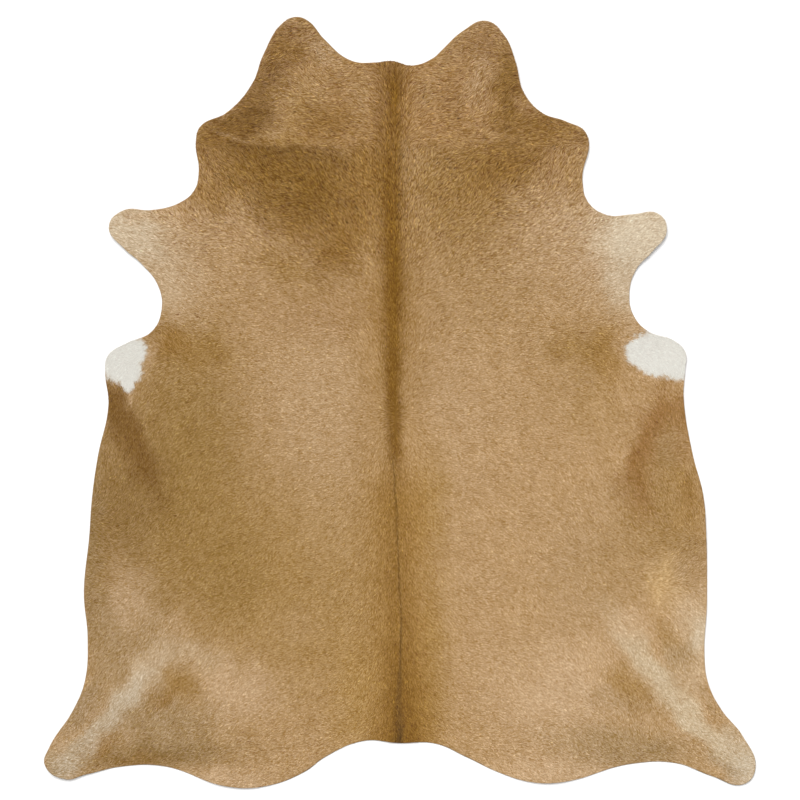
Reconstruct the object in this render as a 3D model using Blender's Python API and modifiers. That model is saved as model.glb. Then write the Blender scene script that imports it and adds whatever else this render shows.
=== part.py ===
"""A cowhide rug lying on the floor: one whole tanned hide, with its short coat left on.

Metres, +Z up. The backbone runs along Y, with the head end towards +Y, and the coat faces up.
The hide lies on z = 0, and the origin is under the middle of its length and width.
"""

import math
from collections import namedtuple

import bmesh
import bpy
from mathutils import Vector
from mathutils.geometry import delaunay_2d_cdt, intersect_point_line

# The leather with its coat pressed flat is one sheet of even thickness.
THICKNESS = 0.003

# Spacing of the points along the cut edge, and of the even rows of points inside it.
EDGE_STEP = 0.015
ROW_STEP = 0.045

# Rows of points stop this share of a step short of the edge, so that no triangle is a sliver.
EDGE_CLEARANCE = 0.6

# Tan coat: linear base colour, roughness and metallic value.
COAT_COLOUR = (0.46, 0.29, 0.13, 1.0)
COAT_ROUGHNESS = 0.75
COAT_METALLIC = 0.0

# The edge is marked out in pairs, as a skin is measured on the bench: how far out from the backbone,
# and how far forward of the tail root, first on the left of the hide and then on the right.
Mark = namedtuple("Mark", "place left_out left_up right_out right_up")
EDGE_MARKS = (
    Mark("nape", 0.052, 1.943, 0.048, 1.934),
    Mark("crown dip", 0.127, 1.948, 0.111, 1.958),
    Mark("head lobe, foot", 0.205, 2.010, 0.131, 1.977),
    Mark("head lobe, inside", 0.249, 2.060, 0.193, 2.033),
    Mark("head lobe, tip", 0.283, 2.072, 0.258, 2.061),
    Mark("head lobe, outside", 0.320, 2.057, 0.312, 2.017),
    Mark("poll", 0.377, 1.967, 0.342, 1.945),
    Mark("jaw dip", 0.409, 1.884, 0.366, 1.856),
    Mark("jaw", 0.482, 1.800, 0.418, 1.799),
    Mark("cheek, front", 0.559, 1.758, 0.486, 1.774),
    Mark("cheek, tip", 0.571, 1.712, 0.545, 1.738),
    Mark("throat", 0.563, 1.632, 0.534, 1.605),
    Mark("neck", 0.576, 1.577, 0.551, 1.542),
    Mark("shoulder", 0.622, 1.539, 0.605, 1.506),
    Mark("foreleg, front", 0.701, 1.520, 0.676, 1.508),
    Mark("foreleg, toe", 0.778, 1.519, 0.750, 1.509),
    Mark("foreleg, tip", 0.819, 1.472, 0.774, 1.463),
    Mark("foreleg, underside", 0.776, 1.410, 0.729, 1.397),
    Mark("foreleg, back", 0.731, 1.371, 0.688, 1.352),
    Mark("elbow", 0.679, 1.303, 0.668, 1.276),
    Mark("armpit", 0.670, 1.232, 0.683, 1.214),
    Mark("armpit, back", 0.698, 1.173, 0.722, 1.174),
    Mark("belly, front", 0.769, 1.140, 0.797, 1.146),
    Mark("belly, corner", 0.823, 1.103, 0.828, 1.113),
    Mark("belly, back", 0.830, 1.059, 0.827, 1.065),
    Mark("flank, front", 0.821, 0.965, 0.823, 0.985),
    Mark("flank, middle", 0.852, 0.814, 0.849, 0.823),
    Mark("flank, widest", 0.868, 0.695, 0.879, 0.707),
    Mark("loin, front", 0.875, 0.599, 0.887, 0.599),
    Mark("loin", 0.891, 0.425, 0.890, 0.408),
    Mark("thigh", 0.881, 0.297, 0.883, 0.246),
    Mark("shin, front", 0.889, 0.173, 0.893, 0.168),
    Mark("shin", 0.921, 0.093, 0.931, 0.092),
    Mark("hock", 0.991, -0.018, 0.991, 0.018),
    Mark("hind leg, tip", 1.003, -0.063, 1.028, -0.076),
    Mark("heel", 0.947, -0.106, 0.996, -0.120),
    Mark("hind leg, underside", 0.885, -0.093, 0.902, -0.097),
    Mark("hind leg, back", 0.786, -0.071, 0.802, -0.061),
    Mark("rump hollow", 0.667, -0.069, 0.673, -0.063),
    Mark("rump", 0.483, -0.127, 0.476, -0.115),
    Mark("rump lobe", 0.375, -0.127, 0.382, -0.114),
    Mark("rump, inside", 0.261, -0.086, 0.296, -0.088),
    Mark("tail side", 0.203, -0.044, 0.205, -0.045),
    Mark("tail hollow", 0.090, 0.003, 0.113, -0.005),
)
NAPE_MIDDLE = (-0.014, 1.947)
TAIL_ROOT = (0.006, -0.003)

# Where the dried hide stands off the floor in a low, long swell: its crest runs from one point to
# another, each given as across from the backbone, right positive, and up from the tail root.
Swell = namedtuple("Swell", "place from_across from_up to_across to_up half_width height")
SWELLS = (
    Swell("left head lobe", -0.300, 2.060, -0.330, 1.900, 0.110, 0.007),
    Swell("right head lobe", 0.270, 2.060, 0.250, 1.930, 0.110, 0.005),
    Swell("right poll fold", 0.345, 1.980, 0.330, 1.760, 0.075, 0.008),
    Swell("left cheek", -0.560, 1.720, -0.470, 1.690, 0.110, 0.006),
    Swell("left neck crease", -0.440, 1.705, -0.190, 1.700, 0.070, 0.005),
    Swell("right cheek", 0.545, 1.730, 0.470, 1.640, 0.110, 0.007),
    Swell("left foreleg", -0.830, 1.475, -0.640, 1.430, 0.130, 0.009),
    Swell("right foreleg", 0.790, 1.465, 0.620, 1.400, 0.130, 0.010),
    Swell("left belly corner", -0.830, 1.110, -0.740, 1.060, 0.110, 0.006),
    Swell("right belly corner", 0.840, 1.110, 0.740, 1.070, 0.110, 0.007),
    Swell("left flank, front", -0.800, 0.950, -0.700, 0.800, 0.090, 0.005),
    Swell("left flank, middle", -0.880, 0.690, -0.780, 0.620, 0.120, 0.007),
    Swell("left flank, back", -0.900, 0.440, -0.800, 0.420, 0.110, 0.005),
    Swell("right flank, front", 0.810, 0.960, 0.690, 0.780, 0.090, 0.006),
    Swell("right flank, middle", 0.890, 0.620, 0.780, 0.540, 0.120, 0.008),
    Swell("right flank, back", 0.900, 0.360, 0.810, 0.330, 0.110, 0.005),
    Swell("left hind leg", -0.660, 0.290, -0.960, -0.060, 0.110, 0.010),
    Swell("left hind tip", -1.010, -0.090, -0.950, -0.030, 0.090, 0.003),
    Swell("right hind leg", 0.665, 0.340, 0.960, -0.030, 0.110, 0.009),
    Swell("right hind tip", 1.040, -0.100, 0.970, -0.060, 0.090, 0.004),
    Swell("left rump", -0.470, -0.130, -0.440, -0.040, 0.120, 0.006),
    Swell("right rump", 0.430, -0.120, 0.450, -0.030, 0.120, 0.005),
    Swell("tail root", 0.006, -0.020, 0.004, 0.090, 0.070, 0.004),
    Swell("beside the backbone, left", -0.140, 0.220, -0.135, 0.700, 0.140, 0.003),
    Swell("beside the backbone, right", 0.145, 0.240, 0.140, 0.680, 0.140, 0.003),
)


def clear_scene():
    """Start from an empty scene."""
    for thing in list(bpy.data.objects):
        bpy.data.objects.remove(thing, do_unlink=True)


def new_collection(name):
    """A collection of its own in the scene."""
    collection = bpy.data.collections.new(name)
    bpy.context.scene.collection.children.link(collection)
    return collection


def marked_points():
    """The marks in order round the hide: the nape, down the right side, the tail root, up the left."""
    right_side = [(mark.right_out, mark.right_up) for mark in EDGE_MARKS]
    left_side = [(-mark.left_out, mark.left_up) for mark in reversed(EDGE_MARKS)]
    return [NAPE_MIDDLE, *right_side, TAIL_ROOT, *left_side]


def edge_guide(guides):
    """The cut edge as one smooth closed curve through the marks, kept in the scene as a guide."""
    curve = bpy.data.curves.new("edge_guide", "CURVE")
    curve.dimensions = "3D"
    curve.resolution_u = 16
    spline = curve.splines.new("BEZIER")
    places = marked_points()
    spline.bezier_points.add(len(places) - 1)
    for point, (across, up) in zip(spline.bezier_points, places):
        point.co = (across, up, 0.0)
        point.handle_left_type = "AUTO"
        point.handle_right_type = "AUTO"
    spline.use_cyclic_u = True
    guide = bpy.data.objects.new("edge_guide", curve)
    guide.hide_render = True
    guide.display_type = "WIRE"
    guides.objects.link(guide)
    bpy.context.view_layer.update()
    return guide


def evenly_spaced(loop, step):
    """Points one step apart along a closed loop of points."""
    ends = loop[1:] + loop[:1]
    lengths = [(end - start).length for start, end in zip(loop, ends)]
    count = round(sum(lengths) / step)
    exact_step = sum(lengths) / count
    spaced = []
    travelled = 0.0
    for start, end, length in zip(loop, ends, lengths):
        while len(spaced) < count and len(spaced) * exact_step < travelled + length:
            along = (len(spaced) * exact_step - travelled) / length
            spaced.append(start.lerp(end, along))
        travelled += length
    return spaced


def cut_edge(guide):
    """The edge as evenly spaced points."""
    graph = bpy.context.evaluated_depsgraph_get()
    evaluated = guide.evaluated_get(graph)
    loop = [vertex.co.xy for vertex in evaluated.to_mesh().vertices]
    evaluated.to_mesh_clear()
    return evenly_spaced(loop, EDGE_STEP)


def is_inside(point, edge):
    """Whether a line drawn to the right from a point crosses the edge an odd number of times."""
    crossings = 0
    for start, end in zip(edge, edge[1:] + edge[:1]):
        if (start.y > point.y) != (end.y > point.y):
            share = (point.y - start.y) / (end.y - start.y)
            crossings += start.x + share * (end.x - start.x) > point.x
    return crossings % 2 == 1


def inner_points(edge):
    """Even rows of points inside the edge, each row half a step along from the one before it."""
    left = min(point.x for point in edge)
    right = max(point.x for point in edge)
    low = min(point.y for point in edge)
    high = max(point.y for point in edge)
    row_height = ROW_STEP * math.sqrt(3) / 2
    nearest = EDGE_CLEARANCE * ROW_STEP
    points = []
    for row in range(math.ceil((high - low) / row_height)):
        for place in range(math.ceil((right - left) / ROW_STEP)):
            across = left + (place + 0.5 * (row % 2)) * ROW_STEP
            point = Vector((across, low + row * row_height))
            if is_inside(point, edge) and min((point - mark).length for mark in edge) > nearest:
                points.append(point)
    return points


def swell_height(point, swell):
    """How far one swell lifts the hide at a point: a rounded crest that fades out at its half width."""
    start = Vector((swell.from_across, swell.from_up))
    end = Vector((swell.to_across, swell.to_up))
    foot, along = intersect_point_line(point, start, end)
    if along < 0.0:
        foot = start.to_3d()
    elif along > 1.0:
        foot = end.to_3d()
    distance = (point - foot.xy).length
    if distance >= swell.half_width:
        return 0.0
    return swell.height * 0.5 * (1.0 + math.cos(math.pi * distance / swell.half_width))


def lift(point):
    """How far the leather's underside stands off the floor at a point: the highest swell there."""
    return max(swell_height(point, swell) for swell in SWELLS)


def hide_surface(edge):
    """The hide's underside as an open surface of triangles, flat on the floor between its swells."""
    inner = inner_points(edge)
    boundary = list(range(len(edge)))
    points, _, faces, _, _, _ = delaunay_2d_cdt(edge + inner, [], [boundary], 1, 1e-6)
    surface = bmesh.new()
    corners = [surface.verts.new((point.x, point.y, lift(point))) for point in points]
    for face in faces:
        surface.faces.new([corners[corner] for corner in face])
    bmesh.ops.recalc_face_normals(surface, faces=surface.faces[:])
    if sum(face.normal.z for face in surface.faces) < 0.0:
        bmesh.ops.reverse_faces(surface, faces=surface.faces[:])
    return surface


def centre_on_origin(surface):
    """Move the surface sideways, so that the origin is under the middle of its length and width."""
    across = [vertex.co.x for vertex in surface.verts]
    up = [vertex.co.y for vertex in surface.verts]
    middle = Vector(((min(across) + max(across)) / 2, (min(up) + max(up)) / 2, 0.0))
    bmesh.ops.translate(surface, verts=surface.verts[:], vec=-middle)
    return middle


def coat_material():
    """The tan coat."""
    material = bpy.data.materials.new("tan_coat")
    material.use_nodes = True
    shader = material.node_tree.nodes["Principled BSDF"]
    shader.inputs["Base Color"].default_value = COAT_COLOUR
    shader.inputs["Roughness"].default_value = COAT_ROUGHNESS
    shader.inputs["Metallic"].default_value = COAT_METALLIC
    return material


def make_hide(rug, guides):
    """The whole hide: the surface between its edges, thickened upwards into one sheet."""
    guide = edge_guide(guides)
    surface = hide_surface(cut_edge(guide))
    middle = centre_on_origin(surface)
    guide.location = -middle
    mesh = bpy.data.meshes.new("hide")
    surface.to_mesh(mesh)
    surface.free()
    mesh.shade_smooth()
    hide = bpy.data.objects.new("hide", mesh)
    hide.data.materials.append(coat_material())
    rug.objects.link(hide)
    leather = hide.modifiers.new("leather", "SOLIDIFY")
    leather.thickness = THICKNESS
    leather.offset = 1.0
    leather.use_even_offset = True
    return hide


clear_scene()
make_hide(new_collection("cowhide_rug"), new_collection("guides"))
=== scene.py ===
"""A tan cowhide rug with its short coat on, lying on a pale floor and seen from straight above."""

import math
from collections import namedtuple

import bpy
import numpy as np
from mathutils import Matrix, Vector
from mathutils.geometry import delaunay_2d_cdt
from mathutils.kdtree import KDTree


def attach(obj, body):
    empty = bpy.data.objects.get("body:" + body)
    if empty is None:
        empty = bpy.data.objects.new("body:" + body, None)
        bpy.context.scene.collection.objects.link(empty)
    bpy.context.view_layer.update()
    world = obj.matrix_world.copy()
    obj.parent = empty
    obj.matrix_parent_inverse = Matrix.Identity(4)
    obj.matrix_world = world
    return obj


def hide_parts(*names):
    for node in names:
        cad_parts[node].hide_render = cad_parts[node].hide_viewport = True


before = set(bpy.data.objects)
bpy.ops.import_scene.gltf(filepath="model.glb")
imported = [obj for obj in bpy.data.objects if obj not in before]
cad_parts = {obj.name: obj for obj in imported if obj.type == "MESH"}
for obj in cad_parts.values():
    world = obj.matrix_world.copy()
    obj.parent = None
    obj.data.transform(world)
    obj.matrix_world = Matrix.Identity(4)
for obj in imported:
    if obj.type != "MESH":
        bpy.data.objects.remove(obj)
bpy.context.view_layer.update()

# Leather
# One whole cowhide, tanned soft and 2 mm thick: skin on the hair side, suede on the flesh side,
# cut round with a knife and left raw. It lies on the floor in its own low swells.

# The skin is a mesh of even rows, LEATHER_STEP apart and clear of the cut edge, which has
# EDGE_PARTS places to each of the solid's own. Sizes are in metres.
LEATHER_THICKNESS = 0.002
LEATHER_STEP = 0.0125
EDGE_PARTS = 4
EDGE_CLEARANCE = 0.6
WELD_DISTANCE = 1e-6
FACING_DOWN = -0.5

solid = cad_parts["hide"].data
flesh_faces = [face for face in solid.polygons if face.normal.z < FACING_DOWN]


def rim_of_the_solid():
    """The cut edge in order: the loop of edges that only one face of the solid's underside has."""
    edges = set()
    for face in flesh_faces:
        corners = [solid.vertices[index].co.to_tuple(5) for index in face.vertices]
        for side in zip(corners, corners[1:] + corners[:1]):
            if side[::-1] in edges:
                edges.remove(side[::-1])
            else:
                edges.add(side)
    onward = dict(edges)
    loop = [min(onward)]
    while onward[loop[-1]] != loop[0]:
        loop.append(onward[loop[-1]])
    return np.array(loop)[:, :2]


def smooth_edge(rim):
    """More places on one smooth curve through the rim's own, seen from above."""
    before, after, beyond = (np.roll(rim, turn, axis=0) for turn in (1, -1, -2))
    stations = []
    for share in np.arange(EDGE_PARTS) / EDGE_PARTS:
        bend = 2 * before - 5 * rim + 4 * after - beyond
        twist = 3 * rim - before - 3 * after + beyond
        stations.append(rim + 0.5 * share * (after - before + share * (bend + share * twist)))
    return np.stack(stations, axis=1).reshape(-1, 2)


edge = smooth_edge(rim_of_the_solid())
edge_tree = KDTree(len(edge))
for number, (across, up) in enumerate(edge):
    edge_tree.insert((across, up, 0.0), number)
edge_tree.balance()
along_edge = np.roll(edge, -1, axis=0) - np.roll(edge, 1, axis=0)
along_edge /= np.linalg.norm(along_edge, axis=1)[:, None]
swept = np.sum(edge[:, 0] * np.roll(edge[:, 1], -1) - edge[:, 1] * np.roll(edge[:, 0], -1))
inward = np.column_stack((-along_edge[:, 1], along_edge[:, 0])) * np.sign(swept)


def inset(places):
    """How far each place lies inside the cut edge, negative outside it."""
    nearest = [edge_tree.find((across, up, 0.0))[1] for across, up in places]
    return np.sum((places - edge[nearest]) * inward[nearest], axis=1)


def rows_inside(step):
    """Even rows of places inside the edge, one step apart, every second row half a step along."""
    ends = np.roll(edge, -1, axis=0)
    row_height = step * math.sqrt(0.75)
    found = []
    for number, up in enumerate(np.arange(edge[:, 1].min(), edge[:, 1].max(), row_height)):
        crosses = (edge[:, 1] > up) != (ends[:, 1] > up)
        start, end = edge[crosses], ends[crosses]
        share = (up - start[:, 1]) / (end[:, 1] - start[:, 1])
        cuts = np.sort(start[:, 0] + share * (end[:, 0] - start[:, 0]))
        for left, right in cuts.reshape(-1, 2):
            across = (np.arange(math.ceil(left / step), right / step) + 0.5 * (number % 2)) * step
            found.append(np.column_stack((across, np.full(len(across), up))))
    return np.concatenate(found)


SHORTEST_WAVE, WAVE_SPREAD = 0.7, 0.6


def mottle(places, size, seed, waves=14):
    """Soft unevenness, mostly within -1 to 1, in blotches of roughly the given size."""
    draws = np.random.default_rng(seed).random((waves, 3))
    total = np.zeros(len(places))
    for turn, stretch, start in draws:
        heading = 2 * math.pi * turn
        distance = places @ np.array((math.cos(heading), math.sin(heading)))
        wave = size * (SHORTEST_WAVE + WAVE_SPREAD * stretch)
        total += np.sin(math.pi * distance / wave + 2 * math.pi * start)
    return total / math.sqrt(waves)


# The hide is measured as a skin is on the bench, in centimetres: across from the backbone, right
# positive, and up from the root of the tail towards the head. This is where those two lie.
CM = 0.01
MM = 0.001
BENCH_ZERO = np.array((-0.0123, -0.9699))


def on_the_bench(places):
    """Places in the frame as across and up, in centimetres."""
    return (places - BENCH_ZERO) / CM


# The main creases, as soft ridges where the skin stands up and troughs where it sinks. Each runs
# between two places in centimetres, its half width is in centimetres and its height in millimetres.
Crease = namedtuple("Crease", "place from_across from_up to_across to_up half_width height")
CREASES = (
    Crease("across the neck, left", -49, 171.5, -14, 169.5, 1.8, 1.6),
    Crease("across the neck, middle", -14, 169.5, 12, 171.0, 1.6, 0.8),
    Crease("poll fold, right", 31, 196.0, 31.5, 176.0, 2.2, 1.8),
    Crease("head lobe, left", -31, 202.0, -41, 180.0, 2.4, 1.2),
    Crease("cheek, left", -57, 169.0, -44, 158.0, 2.2, 1.0),
    Crease("cheek, right", 54, 169.0, 41, 160.0, 2.2, 1.0),
    Crease("foreleg, left", -80, 149.0, -60, 139.0, 3.0, 1.4),
    Crease("foreleg, right", 75, 148.0, 56, 138.0, 3.0, 1.4),
    Crease("flank fold, left", -78, 99.0, -67, 73.0, 2.6, 1.5),
    Crease("flank fold, right", 78, 100.0, 65, 74.0, 2.6, 1.6),
    Crease("hind leg, left", -67, 27.0, -97, -5.0, 3.0, 1.6),
    Crease("hind leg, right", 64, 35.0, 98, -6.0, 3.0, 1.6),
    Crease("backbone trough, upper", -0.7, 80.0, 1.4, 34.0, 1.6, -1.0),
    Crease("backbone trough, lower", 1.4, 34.0, 0.8, 0.0, 1.8, -1.2),
)
CREASE_UNEVENNESS, CREASE_UNEVEN_SIZE = 0.35, 0.05
COCKLE_SIZE = 0.075
COCKLE_HEIGHT = 0.0005

# The solid's own swells, read from its underside, and rounded over this distance on even rows.
SWELL_BLUR = 0.028
SWELL_STEP = 0.01
LEAST_WEIGHT = 1e-12

flesh_corners = sorted({index for face in flesh_faces for index in face.vertices})
flesh_side = np.array([solid.vertices[index].co for index in flesh_corners])
swell_low = edge.min(axis=0) - SWELL_STEP
swell_counts = np.ceil((edge.max(axis=0) + 2 * SWELL_STEP - swell_low) / SWELL_STEP).astype(int)
near_across, near_up = (
    np.exp(-0.5 * (((swell_low[axis] + np.arange(swell_counts[axis]) * SWELL_STEP)[:, None]
                    - flesh_side[:, axis]) / SWELL_BLUR) ** 2)
    for axis in (0, 1)
)
swells = (near_across * flesh_side[:, 2]) @ near_up.T
swells /= np.maximum(near_across @ near_up.T, LEAST_WEIGHT)


def lift(places):
    """How far the underside stands off the floor: the solid's swells, the creases and a fine cockle."""
    cell = (places - swell_low) / SWELL_STEP
    corner = np.clip(cell.astype(int), 0, swell_counts - 2)
    column, row = corner.T
    right, above = (cell - corner).T
    lower = (1 - right) * swells[column, row] + right * swells[column + 1, row]
    upper = (1 - right) * swells[column, row + 1] + right * swells[column + 1, row + 1]
    height = (1 - above) * lower + above * upper
    uneven = 1 + CREASE_UNEVENNESS * mottle(places, CREASE_UNEVEN_SIZE, seed=3)
    bench = on_the_bench(places)
    for crease in CREASES:
        start = np.array((crease.from_across, crease.from_up))
        run = np.array((crease.to_across, crease.to_up)) - start
        along = np.clip((bench - start) @ run / (run @ run), 0, 1)
        distance = np.linalg.norm(bench - start - along[:, None] * run, axis=1)
        height += crease.height * MM * uneven * np.exp(-((distance / crease.half_width) ** 2))
    height += COCKLE_HEIGHT * mottle(places, COCKLE_SIZE, seed=4)
    return np.maximum(height, 0.0)


def leather_mesh():
    """The hair side of the leather, as one surface of triangles inside the cut edge."""
    rows = rows_inside(LEATHER_STEP)
    rows = rows[inset(rows) > EDGE_CLEARANCE * LEATHER_STEP]
    places = [Vector(place) for place in np.concatenate((edge, rows))]
    outline = list(range(len(edge)))
    corners, _, faces, _, _, _ = delaunay_2d_cdt(places, [], [outline], 1, WELD_DISTANCE)
    corners = np.array(corners)
    heights = lift(corners) + LEATHER_THICKNESS
    mesh = bpy.data.meshes.new("hide_leather")
    mesh.from_pydata(np.column_stack((corners, heights)).tolist(), [], faces)
    if mesh.polygons[0].normal.z < 0:
        mesh.flip_normals()
    mesh.shade_smooth()
    return mesh


def new_finish(name, gloss, roughness=0.5):
    """A plain material of the given gloss and roughness, and its shader."""
    material = bpy.data.materials.new(name)
    material.use_nodes = True
    shader = material.node_tree.nodes["Principled BSDF"]
    shader.inputs["Specular IOR Level"].default_value = gloss
    shader.inputs["Roughness"].default_value = roughness
    return material, shader


def add_node(material, kind, place, **settings):
    """A node in the material's tree, with its settings."""
    node = material.node_tree.nodes.new(kind)
    node.location = place
    for name, value in settings.items():
        setattr(node, name, value)
    return node


SUEDE_PALE = (0.56, 0.45, 0.33, 1.0)
SUEDE_WARM = (0.44, 0.33, 0.22, 1.0)
RAW_EDGE = (0.19, 0.11, 0.055, 1.0)
RAW_EDGE_DARK = (0.10, 0.055, 0.025, 1.0)
LEATHER_GLOSS = 0.25
TONES_A_METRE, TONE_DETAIL = 14.0, 6.0
DARK_BELOW, PALE_ABOVE = 0.35, 0.65
GRAIN_DETAIL, GRAIN_STRENGTH, GRAIN_DEPTH = 4.0, 0.6, 0.0004


def leather_finish(name, pale, dark, grain, roughness):
    """Leather of two mingled tones, with a grain of the given size."""
    material, shader = new_finish(name, LEATHER_GLOSS, roughness)
    place = add_node(material, "ShaderNodeTexCoord", (-1000, 0))
    blotches = add_node(material, "ShaderNodeTexNoise", (-760, 160))
    blotches.inputs["Scale"].default_value = TONES_A_METRE
    blotches.inputs["Detail"].default_value = TONE_DETAIL
    fine = add_node(material, "ShaderNodeTexNoise", (-760, -180))
    fine.inputs["Scale"].default_value = 1.0 / grain
    fine.inputs["Detail"].default_value = GRAIN_DETAIL
    tones = add_node(material, "ShaderNodeValToRGB", (-520, 160))
    tones.color_ramp.elements[0].position = DARK_BELOW
    tones.color_ramp.elements[0].color = dark
    tones.color_ramp.elements[1].position = PALE_ABOVE
    tones.color_ramp.elements[1].color = pale
    bump = add_node(material, "ShaderNodeBump", (-300, -180))
    bump.inputs["Strength"].default_value = GRAIN_STRENGTH
    bump.inputs["Distance"].default_value = GRAIN_DEPTH
    link = material.node_tree.links.new
    link(place.outputs["Object"], blotches.inputs["Vector"])
    link(place.outputs["Object"], fine.inputs["Vector"])
    link(blotches.outputs["Fac"], tones.inputs["Fac"])
    link(tones.outputs["Color"], shader.inputs["Base Color"])
    link(fine.outputs["Fac"], bump.inputs["Height"])
    link(bump.outputs["Normal"], shader.inputs["Normal"])
    return material


leather = bpy.data.objects.new("hide_leather", leather_mesh())
bpy.context.scene.collection.objects.link(leather)
leather.data.materials.append(None)
suede = leather_finish("suede", SUEDE_PALE, SUEDE_WARM, grain=0.0008, roughness=0.95)
raw_edge = leather_finish("raw_edge", RAW_EDGE, RAW_EDGE_DARK, grain=0.0006, roughness=0.9)
leather.data.materials.append(suede)
leather.data.materials.append(raw_edge)
sheet = leather.modifiers.new("thickness", "SOLIDIFY")
sheet.thickness = LEATHER_THICKNESS
sheet.offset = -1.0
sheet.material_offset = 1
sheet.material_offset_rim = 2
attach(leather, "root")
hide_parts("hide")

# Coat
# The cow's own short hair, still rooted in the skin, brushed flat the way it grew. It is laid as
# small locks of hair, pointed at root and tip, with a shoulder to one side: one thin face each.
coat_draws = np.random.default_rng(11)

# How the hair lies, read down the hide. At each height above the tail root, the angle between the
# way the tips point and straight outward, towards the head positive, at eight distances from the
# backbone in centimetres, alike on both sides; the length of the hair in millimetres; how wavy it
# is; and how far its locks, and tufts of them, differ in colour.
Lay = namedtuple("Lay", "up at_2 at_5 at_10 at_20 at_35 at_50 at_65 at_80 length waves variety tufts")
LAY_COLUMNS = (2, 5, 10, 20, 35, 50, 65, 80)
LAYS = (
    Lay(205, 70, 15, 4, 0, 0, 0, 0, 0, 17, 2.0, 1.25, 0.06),
    Lay(189, 76, 15, 4, 5, 15, -30, -30, -30, 17, 2.0, 1.25, 0.06),
    Lay(180, 76, 15, 4, 8, 20, -30, -30, -30, 17, 2.0, 1.25, 0.06),
    Lay(174, 76, 18, 8, 12, 20, -10, -10, -10, 17, 2.0, 1.25, 0.06),
    Lay(170.5, 76, 20, 10, 10, 15, 0, 0, 0, 17, 2.0, 1.25, 0.06),
    Lay(168.5, 75, 62, 45, 30, 30, 60, 60, 60, 18, 1.8, 1.40, 0.04),
    Lay(162, 75, 65, 54, 45, 35, 60, 80, 80, 16, 1.3, 1.45, 0.0),
    Lay(155, 78, 65, 53, 45, 25, 45, 50, 50, 16, 1.3, 1.45, 0.0),
    Lay(147, 78, 65, 52, 42, 20, 30, 20, 15, 16, 1.1, 1.35, 0.0),
    Lay(140, 75, 66, 45, 28, 12, 15, 10, 12, 14, 1.1, 1.22, 0.01),
    Lay(132, 75, 62, 30, 10, 8, 8, 20, 20, 13.5, 1.0, 1.02, 0.02),
    Lay(125, 72, 59, 28, 8, 4, 5, 20, 20, 12.5, 1.0, 0.94, 0.02),
    Lay(117, 75, 62, 28, 5, 2, 0, -10, -30, 12.5, 1.0, 0.94, 0.015),
    Lay(110, 78, 63, 25, 5, 0, -5, -25, -40, 11.5, 1.0, 0.90, 0.015),
    Lay(102, 78, 60, 15, 3, -3, -12, -40, -75, 11.5, 1.0, 0.86, 0.015),
    Lay(96, 60, 45, 8, 2, -6, -14, -40, -80, 11.5, 1.0, 0.86, 0.015),
    Lay(92, -20, -16, -5, -4, -8, -18, -40, -80, 11.5, 1.0, 0.86, 0.015),
    Lay(86, -70, -56, -20, -8, -12, -22, -48, -80, 11.5, 1.0, 0.86, 0.015),
    Lay(78, -78, -66, -35, -12, -15, -35, -50, -78, 11.5, 1.0, 0.86, 0.015),
    Lay(69, -78, -69, -45, -15, -22, -38, -48, -78, 11.5, 1.0, 0.86, 0.015),
    Lay(62, -78, -69, -45, -15, -25, -35, -45, -72, 11.5, 1.0, 0.86, 0.015),
    Lay(56, -78, -67, -40, -18, -25, -32, -35, 10, 11.5, 1.0, 0.86, 0.015),
    Lay(50, -78, -67, -38, -20, -25, -30, -25, 5, 11.5, 1.0, 0.86, 0.015),
    Lay(43, -80, -68, -38, -22, -28, -32, -30, -15, 11.5, 1.0, 0.86, 0.015),
    Lay(35, -80, -68, -38, -20, -30, -38, -45, -50, 11.5, 1.0, 0.86, 0.015),
    Lay(25, -80, -68, -38, -15, -28, -35, -50, -58, 11, 1.0, 0.90, 0.015),
    Lay(15, -80, -70, -45, -20, -25, -40, -58, -52, 11, 1.0, 0.90, 0.015),
    Lay(5, -75, -62, -30, -15, -15, -25, -45, -45, 11, 1.0, 0.95, 0.015),
    Lay(-5, -60, -49, -20, -18, -22, -15, -20, -25, 11, 1.0, 0.95, 0.015),
    Lay(-12, -40, -34, -20, -18, -20, -15, -20, -20, 11, 1.0, 0.95, 0.015),
)

# Where one side lies unlike the other: the tips turn to this heading, in degrees counter-clockwise
# from straight right, about a place in centimetres.
Turn = namedtuple("Turn", "place across up reach heading")
TURNS = (
    Turn("head, right of the middle", 22, 184, 9, 40),
    Turn("cheek edge, left", -36, 192, 5, 215),
    Turn("flank edge, right", 78, 85, 6, 45),
    Turn("swirl, left armpit", -63, 114, 6, 120),
    Turn("swirl, left flank", -83, 60, 8, 160),
    Turn("swirl, right flank", 79, 53, 8, 20),
    Turn("shank, right", 69, 10, 7, -75),
    Turn("foreleg, left", -72, 146, 8, 165),
    Turn("foreleg, right", 68, 146, 8, 25),
)

# The hair's own waviness: how far it turns aside, in degrees, in waves of three sizes in metres,
# and how far each lock strays.
WANDER = (10.0, 8.0, 5.0)
WANDER_SIZES = (0.10, 0.022, 0.009)
STRAY = 6.0


def read_rows(rows, columns, up, out):
    """A table read between its rows and columns; rows run from the head down."""
    table = np.array(rows, float)
    ups = table[::-1, 0]
    values = table[::-1, 1:len(columns) + 1]
    row = np.interp(up, ups, np.arange(len(ups)))
    column = np.interp(out, columns, np.arange(len(columns)))
    low_row = np.minimum(row.astype(int), len(ups) - 2)
    low_column = np.minimum(column.astype(int), len(columns) - 2)
    above, beyond = row - low_row, column - low_column
    lower = (1 - beyond) * values[low_row, low_column] + beyond * values[low_row, low_column + 1]
    upper = (1 - beyond) * values[low_row + 1, low_column] + beyond * values[low_row + 1, low_column + 1]
    return (1 - above) * lower + above * upper


def along_rows(bench, rows, column):
    """A column of a table, read at each place's height; rows run from the head down."""
    ups = [row.up for row in rows[::-1]]
    return np.interp(bench[:, 1], ups, [getattr(row, column) for row in rows[::-1]])


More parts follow.
